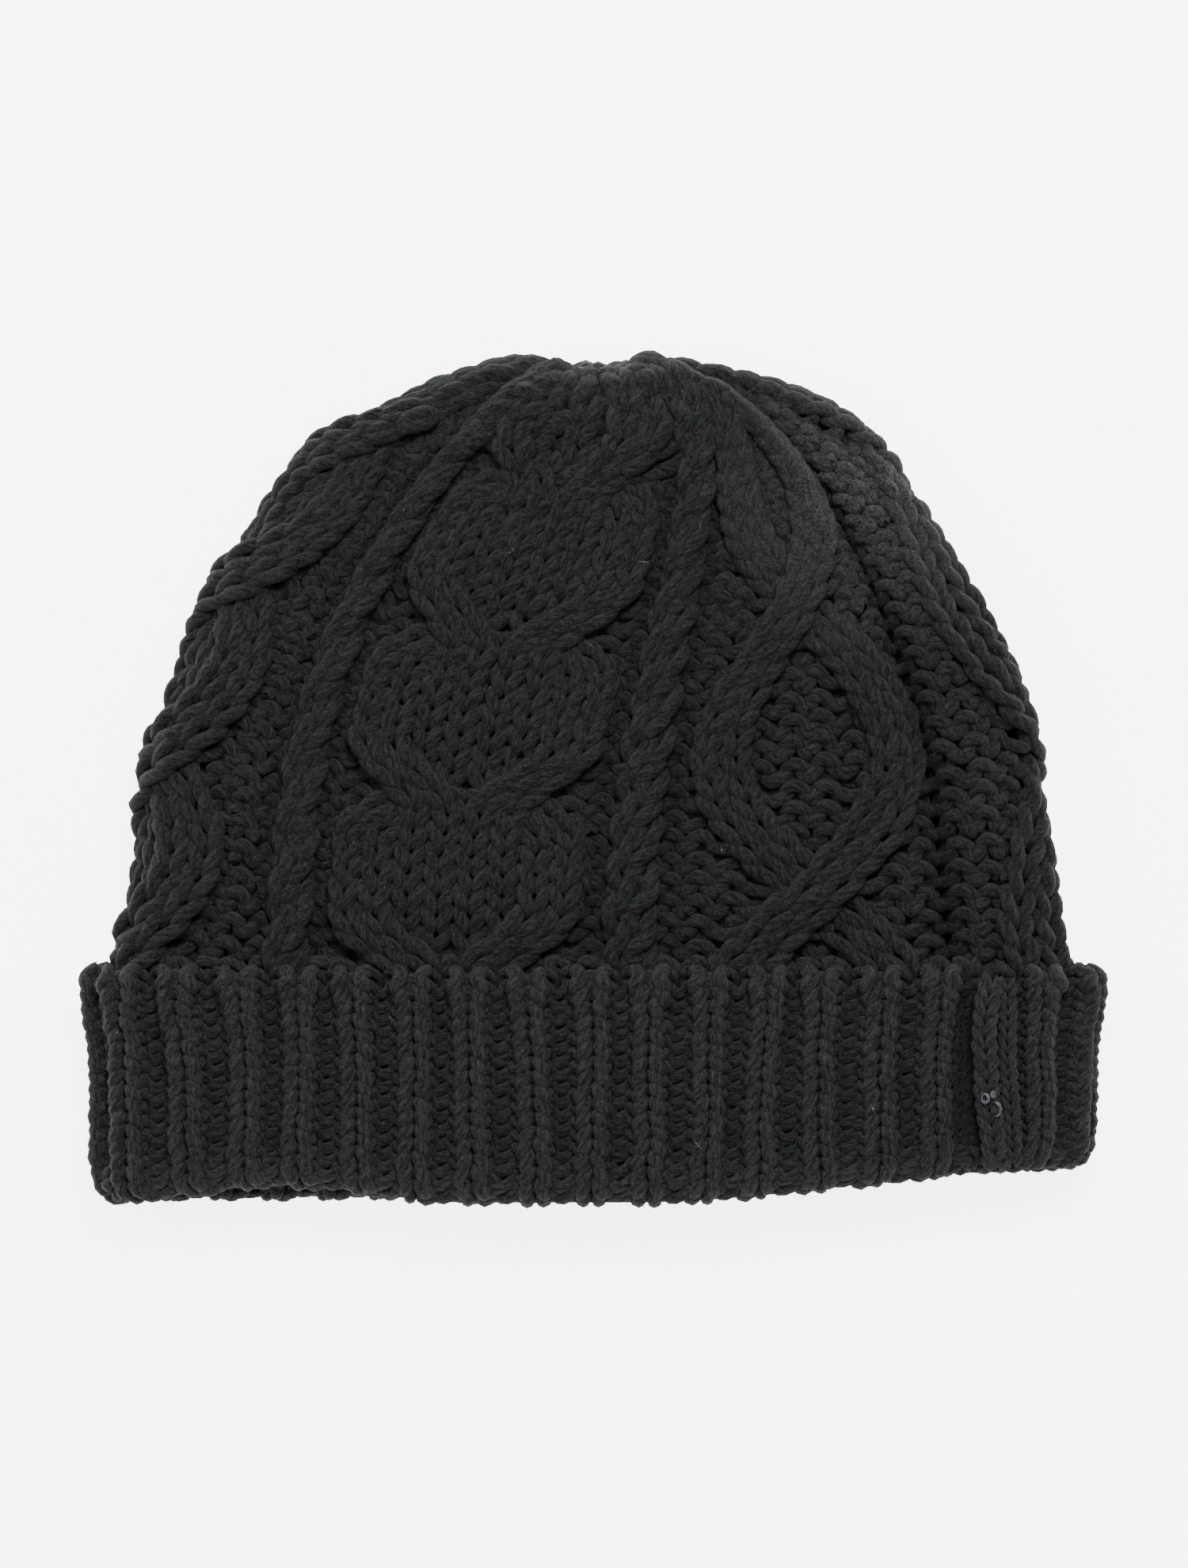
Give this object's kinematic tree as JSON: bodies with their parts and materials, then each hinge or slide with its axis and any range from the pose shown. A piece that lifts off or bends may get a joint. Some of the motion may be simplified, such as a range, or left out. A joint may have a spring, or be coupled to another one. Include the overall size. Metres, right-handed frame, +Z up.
{
  "type": "knit beanie",
  "caption": "Chunky cable-knit beanie with a deep turned-up rib cuff, a rounded drawn-closed crown and a sewn side seam, lying flat.",
  "frame": {"origin": "middle of the underside of the hat as it lies flat on its back layer, halfway along its length", "axes": "+X across the hat to the side with the seam, +Y from the head opening to the crown, +Z up through the back layer and then the front layer"},
  "size_m": [0.24, 0.1986, 0.0365],
  "materials": {
    "cable_knit": "matte",
    "rib_knit": "matte",
    "seam_yarn": "matte"
  },
  "bodies": {
    "hat": {"cable_body": "cable_knit", "crown_gather": "cable_knit", "gather_yarn_end": "seam_yarn", "body_seam": "seam_yarn", "inner_band": "rib_knit", "band_seam": "seam_yarn"},
    "cuff": {"turn_up_cuff": "rib_knit", "cast_on_edge": "rib_knit", "folded_hem": "rib_knit", "cuff_seam": "seam_yarn"}
  },
  "joints": [
    {"name": "cuff_turn_down", "type": "slide", "parent": "hat", "child": "cuff", "axis": [0, -1, 0], "range_m": [0, 0.044]}
  ]
}
